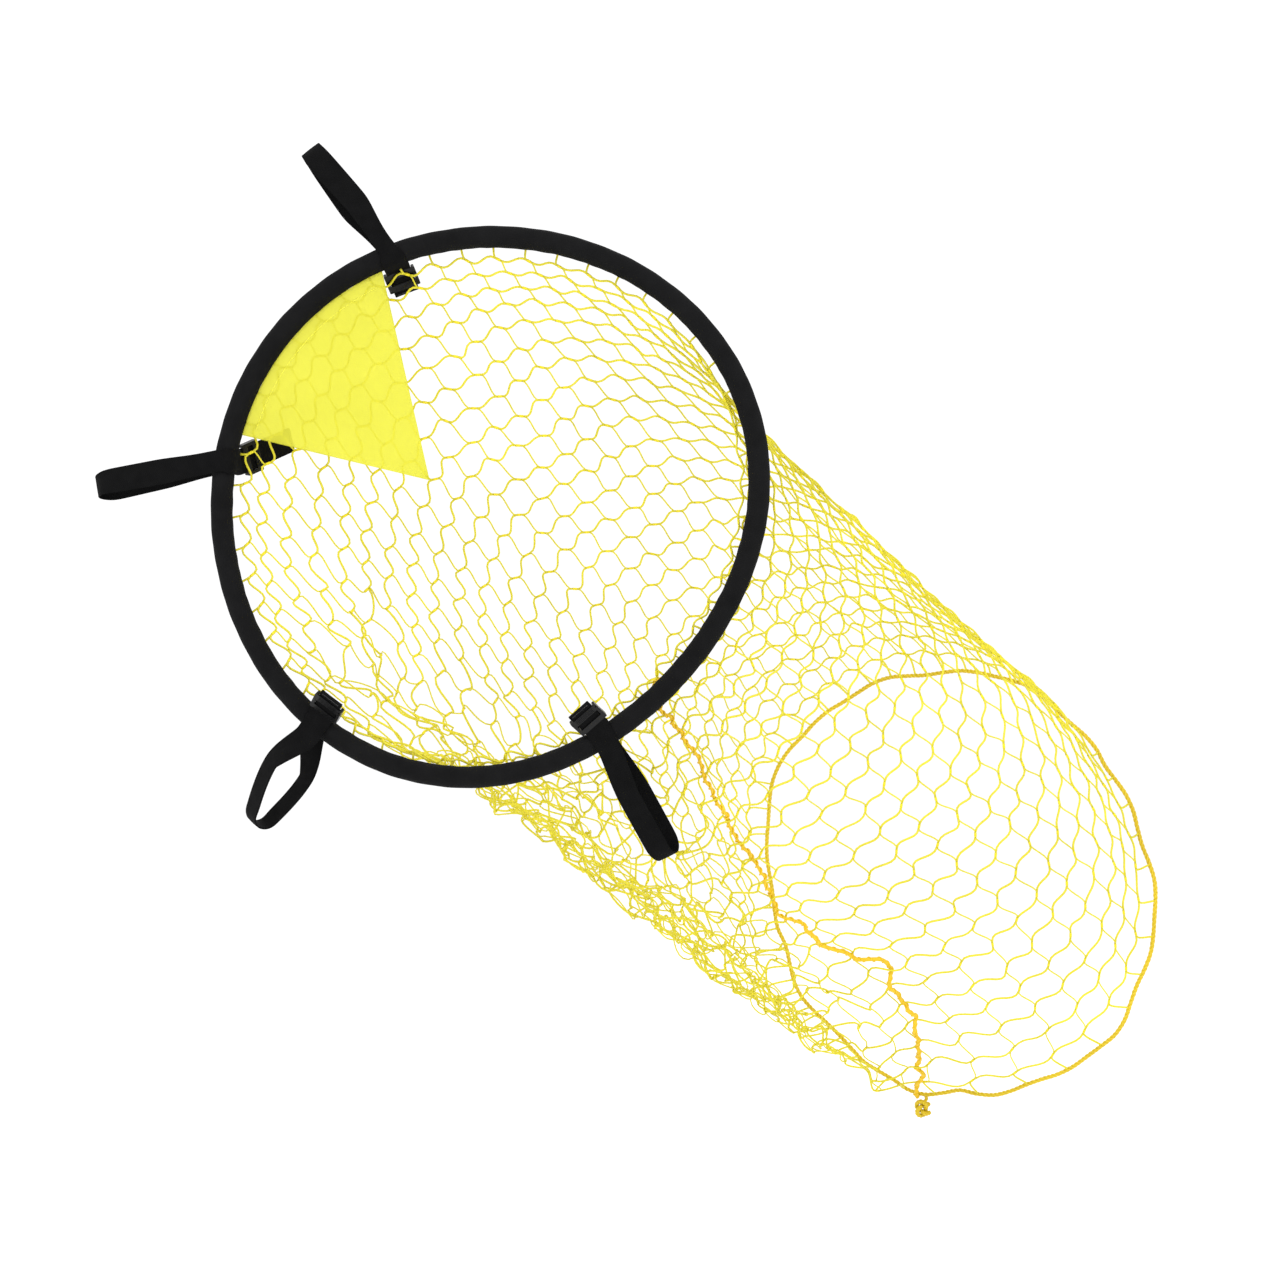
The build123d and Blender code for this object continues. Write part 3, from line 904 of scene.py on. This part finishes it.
def panel_point(a, b):
    """a runs along the sewn edge and b from it to the tip, both 0 to 1."""
    edge = panel_edge(a)
    tip = np.array((PANEL_TIP[0], 0.0, PANEL_TIP[1]))
    point = edge + (tip - edge) * b
    swell = math.sin(math.pi * a) * math.sin(math.pi * min(b * 1.15, 1.0))
    wave = 0.0022 * swell + 0.0007 * math.sin(9 * a + 5 * b) * (1 - b) * swell
    pucker = 0.0004 * math.sin(70 * a) * math.exp(-((b - 0.075) / 0.05) ** 2)
    curl = 0.0012 * b * b * math.sin(6 * a)
    return point + np.array((0.0, wave + pucker + curl, 0.0))


def panel_layers():
    """The sheet's front and back points, in rows from the sewn edge to the tip, and their uvs."""
    across, down = PANEL_GRID
    front, back, uvs = [], [], []
    for j in range(down + 1):
        for i in range(across + 1):
            a, b = i / across, j / down
            point = panel_point(a, b)
            from_edge = float(np.linalg.norm(point - panel_edge(a)))
            hem = HEM_EXTRA * float(1 - smooth((from_edge - HEM_REACH) / HEM_STEP))
            half = np.array((0, PANEL_HALF_T + hem / 2, 0))
            front.append(point - half)
            back.append(point + half)
            uvs.append((point[0], point[2]))
    return np.array(front + back), uvs


def panel_faces():
    """Quads of the sheet's front and back and of its four edges."""
    across, down = PANEL_GRID
    row = across + 1
    size = row * (down + 1)
    faces = []
    for j in range(down):
        for i in range(across):
            k = j * row + i
            faces.append((k, k + row, k + row + 1, k + 1))
            faces.append((size + k, size + k + 1, size + k + row + 1, size + k + row))
    for i in range(across):
        faces.append((i, i + 1, size + i + 1, size + i))
        k = down * row + i
        faces.append((k + 1, k, size + k, size + k + 1))
    for j in range(down):
        k = j * row
        faces.append((k + row, k, size + k, size + k + row))
        k = j * row + across
        faces.append((k, k + row, size + k + row, size + k))
    return faces


def cloth_panel():
    """One sheet of cloth from the sleeve to the tip, doubled in the hem."""
    verts, uvs = panel_layers()
    faces = panel_faces()
    corners = [uvs[k % len(uvs)] for face in faces for k in face]
    obj = new_object("panel_cloth_sheet", verts, faces, corners)
    tidy_mesh(obj)
    dress(obj, CLOTH)
    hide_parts("fan_hem", "fan_flap")
    middle, inward = panel_axes()
    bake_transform(obj)


def tidy_mesh(obj):
    """Joins points that coincide and points every face outwards."""
    mesh = bmesh.new()
    mesh.from_mesh(obj.data)
    bmesh.ops.remove_doubles(mesh, verts=mesh.verts, dist=1e-6)
    bmesh.ops.recalc_face_normals(mesh, faces=mesh.faces)
    mesh.to_mesh(obj.data)
    mesh.free()


def panel_stitches():
    """Thread along the hem, a little inside the sewn edge."""
    paths = []
    for i in range(HEM_STITCHES):
        points = []
        for k in range(5):
            share = (k - 2) / 2
            a = 0.035 + 0.93 * (i + 0.5 + share * 0.36) / HEM_STITCHES
            lift = PANEL_HALF_T + HEM_STITCH_LIFT - HEM_STITCH_ARCH * share * share
            points.append(panel_point(a, HEM_STITCH_ROW) - np.array((0, lift, 0)))
        paths.append(points)
    obj = dress(new_object("panel_hem_thread", *tubes(paths, HEM_THREAD_R)), PANEL_THREAD)
    stands_for(obj, "fan_stitching", "hoop")


# ------------------------------------------------------------------ net


def tube_point(share, angle, radius):
    """A point on the tube at a share of its length; arrays are allowed."""
    share, angle, radius = np.broadcast_arrays(*(np.asarray(x, float) for x in (share, angle, radius)))
    turn = np.radians(TAIL_TURN * share)
    zero, one = np.zeros_like(turn), np.ones_like(turn)
    right = np.stack([np.cos(turn), -np.sin(turn), zero], -1)
    up = np.stack([zero, zero, one], -1)
    a = np.radians(angle)
    centre = share[..., None] * TAIL_CENTRE
    return centre + radius[..., None] * (right * np.cos(a)[..., None] + up * np.sin(a)[..., None])


def curve(table, where):
    """Values between the pairs of a table."""
    return np.interp(where, [a for a, _ in table], [b for _, b in table])


def rope_radius(angle):
    """From the tail mouth's centre to its rope."""
    return curve(RIM_OUTLINE, np.asarray(angle, float) % 360.0)


def wall_point(share, angle, swell=0.0):
    """On the net's wall, which starts at the rim's own outline a little behind the hoop's plane."""
    near = 1 - smooth(np.asarray(share, float) / 0.3)
    at_tail = smooth((np.asarray(share, float) - 0.72) / 0.28)
    radius = curve(NET_RINGS, share) * (1 - at_tail) + rope_radius(angle) * at_tail
    radius = radius + (rim_radius(angle) - HOOP_R) * near + swell
    lift = NET_LIFT * (1 - smooth(np.asarray(share, float) / 0.05))
    return tube_point(share, angle, radius) + np.asarray(lift)[..., None] * BACK


def bunched(around):
    """1 where the cloth of the net gathers in folds, low on the left; 0 elsewhere."""
    return smooth((around - 215.0) / 40.0) * (1 - smooth((around - 345.0) / 14.0))


def drape(share, around):
    """The net's angle, and its folds outwards. around is 0 to 360 from the seam along the cloth."""
    follow = (1 - np.exp(-around / 50.0)) * (1 - smooth((around - 235.0) / 125.0))
    angle = NET_SEAM_AT + around + curve(SLIP, share) * (1 - follow)
    grow = smooth(share / 0.16) * (1 - smooth((share - 0.93) / 0.07))
    folds = np.sin(np.radians(around * 15.0) + 9.0 * share)
    folds = folds + 0.6 * np.sin(np.radians(around * 27.0) - 14 * share)
    swell = bunched(around) * (curve(HANG, share) - FOLD_DEPTH * grow * (0.9 + folds))
    body = smooth(share / 0.1) * (1 - smooth((share - 0.95) / 0.05))
    swell = swell + 0.0022 * body * np.sin(np.radians(3 * around) + 7 * share)
    swell = swell + 0.0014 * body * np.sin(np.radians(7 * around) - 11 * share)
    return angle, swell


def net_nodes():
    """Where the net's joints lie, in rows from the hoop and columns from the seam, and how loose each is."""
    steps = ROW_STEP - ROW_STEP_LESS * np.exp(-np.arange(NET_ROWS - 1) / ROW_STEP_FADE)
    rows = FIRST_ROW + np.concatenate([[0.0], np.cumsum(steps)])
    around = 360.0 * np.arange(NET_AROUND) / NET_AROUND
    share, turn = np.meshgrid(rows, around, indexing="ij")
    loose = smooth((share - 0.02) / 0.1) * (1 - smooth((share - 0.86) / 0.09))
    share = share + curve(SAG, turn) * loose
    spread = loose * (0.22 + 1.6 * bunched(turn))
    turn = turn + NOISE.normal(0, STRAY_TURN, turn.shape) * spread
    share = share + NOISE.normal(0, STRAY_SHARE, turn.shape) * spread
    angle, swell = drape(share, turn)
    swell = swell + NOISE.normal(0, STRAY_SWELL, turn.shape) * spread
    return wall_point(share, angle, swell), spread


def clear_of_buckles(points):
    """Lifts cord to the front of the two buckles and tails that lie behind the net."""
    flat = points.reshape(-1, 3).copy()
    for name, start in BUCKLE_STARTS.items():
        strap = STRAPS[name]
        f = strap_frames(strap)
        away = flat - (f["base"] + f["tail"] * TAIL_START)
        down, across, height = away @ f["along"] + TAIL_START, away @ f["tail_width"], away @ f["normal"]
        plate = (down > start - BUCKLE_MARGIN) & (down < start + BUCKLE_LENGTH + BUCKLE_MARGIN)
        least = np.where(plate, -BUCKLE_HALF_T - CORD_OVER_BUCKLE, -CORD_OVER_TAIL)
        over = (down > TAIL_COVERED_FROM) & (down < strap["tail"] + TAIL_MARGIN)
        over &= np.abs(across) < BUCKLE_HALF_W + TAIL_MARGIN
        hit = over & (height > least) & (height < CORD_BEHIND)
        flat += np.where(hit, least - height, 0.0)[:, None] * f["normal"]
    return flat.reshape(points.shape)


def bezier(a, b, c, d, count):
    """Curves from points a to points d with handles b and c."""
    t = np.linspace(0, 1, count)[None, :, None]
    a, b, c, d = (x[:, None] for x in (a, b, c, d))
    return (1 - t) ** 3 * a + 3 * (1 - t) ** 2 * t * b + 3 * (1 - t) * t**2 * c + t**3 * d


def flat(grid):
    """Rows and columns of points or vectors as one list."""
    return grid.reshape(-1, 3)


def strands(a, tangent_a, b, tangent_b, slack, loose=0.1):
    """Curved paths from points a to points b, a little at random where they are loose."""
    gap = np.linalg.norm(b - a, axis=1, keepdims=True)
    handle = gap * slack * (0.85 + 0.3 * NOISE.rand(len(a), 1))
    tangent_a = unit(tangent_a + NOISE.normal(0, STRAY_STRAND, a.shape) * loose)
    tangent_b = unit(tangent_b + NOISE.normal(0, STRAY_STRAND, a.shape) * loose)
    return clear_of_buckles(bezier(a, a + tangent_a * handle, b + tangent_b * handle, b, STRAND_POINTS))


def ties_to_sleeve(first_row, lay):
    """Short ties from the sleeve's seam to the net's first row."""
    turns = np.degrees(np.arctan2(first_row[:, 2], first_row[:, 0])) + TIE_OFFSET_DEG
    points, outward, _ = rim_frames(turns)
    lean = math.radians(SLEEVE_SEAM_DEG)
    seat = points + SLEEVE_R * (BACK * math.sin(lean) - outward * math.cos(lean))
    return strands(seat, unit(first_row - seat), first_row, -lay, TIE_SLACK)


def net_cords(nodes, lay, spread, rim):
    """The net's cords in groups: their paths, their radius and the row that each path belongs to."""
    ahead, behind = nodes + lay * JOINT_HALF, nodes - lay * JOINT_HALF
    beside, beside_lay = flat(np.roll(behind, 1, axis=1)), flat(np.roll(lay, 1, axis=1))
    loose = spread.reshape(-1, 1)
    wavy = strands(flat(ahead), flat(lay), beside, -beside_lay, ROUND_SLACK, loose)
    loose = loose[:-NET_AROUND]
    slack = LONG_SLACK + LONG_SLACK_LOOSE * loose
    straight = strands(flat(ahead[:-1]), flat(lay[:-1]), flat(behind[1:]), -flat(lay[1:]), slack, loose)
    ties = ties_to_sleeve(behind[0], lay[0])
    where = rim_near(rim, ahead[-1])
    last = strands(ahead[-1], lay[-1], where, unit(ahead[-1] - where), LAST_SLACK)
    return (
        (wavy, ROUND_CORD_R, ROW_OF),
        (straight, LONG_CORD_R, ROW_OF[:-NET_AROUND]),
        (ties, ROUND_CORD_R, ROW_OF[:NET_AROUND]),
        (last, ROUND_CORD_R, ROW_OF[-NET_AROUND:]),
    )


def net_mesh(rim):
    """Knotless net: short doubled joints, straight strands along it and slack wavy ones round it."""
    nodes, spread = net_nodes()
    around = np.roll(nodes, -1, axis=1) - np.roll(nodes, 1, axis=1)
    along = np.gradient(nodes, axis=0)
    lay = unit(unit(unit(along) - unit(around)) + NOISE.normal(0, STRAY_LAY, nodes.shape))
    groups = net_cords(nodes, lay, spread, rim)
    steps = np.linspace(-1.0, 1.0, len(JOINT_SHAPE))[None, :, None]
    bars = clear_of_buckles(flat(nodes)[:, None] + flat(lay)[:, None] * JOINT_HALF * steps)
    for name, first, last in (("mouth", 0, NET_ROWS // 2), ("tail", NET_ROWS // 2, NET_ROWS)):
        cords = []
        for paths, radius, rows in groups:
            here = (rows >= first) & (rows < last)
            if here.any():
                cords.append(tubes(paths[here], radius))
        cords = dress(new_object(f"net_{name}_cords", *joined(cords)), NET_CORD)
        if name == "mouth":
            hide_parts("net_tube")
        finish_net(cords)
        here = (ROW_OF >= first) & (ROW_OF < last)
        joints = tubes(bars[here], np.array(JOINT_SHAPE) * JOINT_R)
        finish_net(dress(new_object(f"net_{name}_joints", *joints), NET_JOINT))


def finish_net(obj):
    """Bakes a piece of the net's placing into its mesh."""
    gather(obj)


def gather(obj):
    """Bakes the piece's placing into its mesh."""
    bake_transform(obj)


def rim_line():
    """The rope's line: a loose oval in the tail mouth's plane, with the sag the net gives it."""
    a = np.arange(0.0, 360.0, 5.0)
    wobble = 0.0022 * np.sin(np.radians(9 * a) + 2.0) + 0.0016 * np.sin(np.radians(17 * a))
    radius = rope_radius(a) + wobble
    points = tube_point(np.ones_like(a), a, radius)
    points[:, 1] += 0.003 * np.sin(np.radians(4 * a) + 0.5)
    return spline(points, 1100, closed=True)


def rim_near(rim, points):
    """The rope's point nearest to each point."""
    gaps = np.linalg.norm(points[:, None] - rim[None], axis=2)
    return rim[gaps.argmin(axis=1)]


def tail_rope(rim):
    """Three strands laid into a rope."""
    obj = new_object("tail_rope_strands", *twisted_strands(rim, 3, 0.00125, 0.00135, 0.016, closed=True))
    dress(obj, ROPE)
    stands_for(obj, "tail_rope", "net_tail")


def tail_knot():
    """An overhand knot with two short cut ends, below the rope."""
    low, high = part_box("tail_knot")
    centre = np.array((low + high) / 2)
    points = []
    for i in range(KNOT_STEPS + 1):
        t = math.radians(KNOT_OPEN_DEG + (360 - 2 * KNOT_OPEN_DEG) * i / KNOT_STEPS)
        reach = KNOT_SCALE * (2 + math.cos(3 * t))
        offset = (reach * math.cos(2 * t), KNOT_DEPTH * math.sin(3 * t), reach * math.sin(2 * t))
        points.append(centre + offset)
    line = spline(points, 150)
    parts = [twisted_strands(line, 3, 0.0012, 0.0016, 0.012)]
    rope = tube_point(1.0, KNOT_AT, rope_radius(KNOT_AT))
    stem = spline([rope, (rope * 2 + centre) / 3 + (0.002, 0, 0), centre + (0.0, 0.0, 0.006)], 30)
    parts.append(twisted_strands(stem, 3, 0.001, 0.00115, 0.011))
    obj = dress(new_object("tail_knot_cord", *joined(parts)), ROPE)
    stands_for(obj, "tail_knot", "net_tail")


def seam_lacing():
    """The cord that closes the tube: a core with a thinner cord wound over it, a little at random."""
    share = np.linspace(0.0, 1.0, 70)
    points = wall_point(share, curve(SEAM_LINE, share), SEAM_CORD_LIFT)
    rim, outward, _ = rim_frames(NET_SEAM_AT)
    points[0] = rim - outward * 0.0095 + BACK * 0.0068
    stray = SEAM_STRAY[0] + SEAM_STRAY[1] * smooth((share - SEAM_THICKENS) / SEAM_THICKENS_OVER)
    jog = NOISE.normal(0, 1.0, points.shape) * stray[:, None]
    jog[[0, -1]] = 0
    line = spline(points + jog, 760)
    where = np.linspace(0, 1, len(line))
    thick = 1.0 + 0.45 * smooth((where - SEAM_THICKENS) / SEAM_THICKENS_OVER)
    core = tubes([line], SEAM_CORD_R * thick[None], 8)
    parts = [core, twisted_strands(line, 1, 0.0023, 0.0010, 0.011)]
    obj = dress(new_object("side_seam_cord", *joined(parts)), SEAM_CORD)
    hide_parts("side_seam_lacing")
    gather(obj)


# ------------------------------------------------------------------ CAD pieces that keep their own shape


def dress_cad_nodes():
    """Materials for the buckles, the wire, its ferrule and the foam, and softer edges on the buckles."""
    for name in STRAPS:
        node = NODES[f"{name}_buckle"]
        dress(node, PLASTIC)
        bevel = node.modifiers.new("soft_edges", "BEVEL")
        bevel.width = 0.0003
        bevel.segments = 2
        bevel.limit_method = "ANGLE"
    dress(NODES["hoop_padding"], foam_material())
    steel = metal_material("spring_steel", (0.35, 0.36, 0.38), (0.58, 0.59, 0.6), 0.32)
    dress(NODES["spring_hoop"], steel)
    ferrule = metal_material("ferrule_metal", (0.55, 0.55, 0.56), (0.8, 0.8, 0.8), 0.38)
    dress(NODES["hoop_ferrule"], ferrule)


# ------------------------------------------------------------------ studio


def studio_floor():
    """A wide pale floor below the object."""
    corners = ((-1, -1), (1, -1), (1, 1), (-1, 1))
    verts = [(x * FLOOR_HALF, y * FLOOR_HALF, FLOOR_Z) for x, y in corners]
    dress(new_object("floor", verts, [[0, 1, 2, 3]]), floor_material())


def studio_light():
    """Soft light from all round, and three large lamps."""
    world = bpy.data.worlds.new("studio")
    bpy.context.scene.world = world
    world.use_nodes = True
    sky = world.node_tree.nodes["Background"]
    sky.inputs["Color"].default_value = (1, 1, 1, 1)
    sky.inputs["Strength"].default_value = SKY_STRENGTH
    for name, place, power in LAMPS:
        light = bpy.data.lights.new(name, "AREA")
        light.size = LAMP_SIZE
        light.energy = power
        lamp = bpy.data.objects.new(name, light)
        lamp.location = place
        lamp.rotation_euler = (Vector(LAMP_TARGET) - Vector(place)).to_track_quat("-Z", "Y").to_euler()
        bpy.context.scene.collection.objects.link(lamp)


def studio_camera():
    """A camera straight in front of the object, near its middle."""
    camera = bpy.data.cameras.new("camera")
    camera.sensor_width = SENSOR_W
    camera.lens = LENS
    eye = bpy.data.objects.new("camera", camera)
    eye.location = CAMERA_AT
    eye.rotation_euler = (math.pi / 2, 0, 0)
    bpy.context.scene.collection.objects.link(eye)
    bpy.context.scene.camera = eye
    bpy.context.scene.view_settings.view_transform = "Standard"


hoop_sleeve()
sleeve_stitches()
for strap_name, strap_values in STRAPS.items():
    webbing(strap_name, strap_values)
    bar_tack(strap_name, strap_values)
cloth_panel()
panel_stitches()
RIM = rim_line()
net_mesh(RIM)
tail_rope(RIM)
tail_knot()
seam_lacing()
dress_cad_nodes()
studio_floor()
studio_light()
studio_camera()
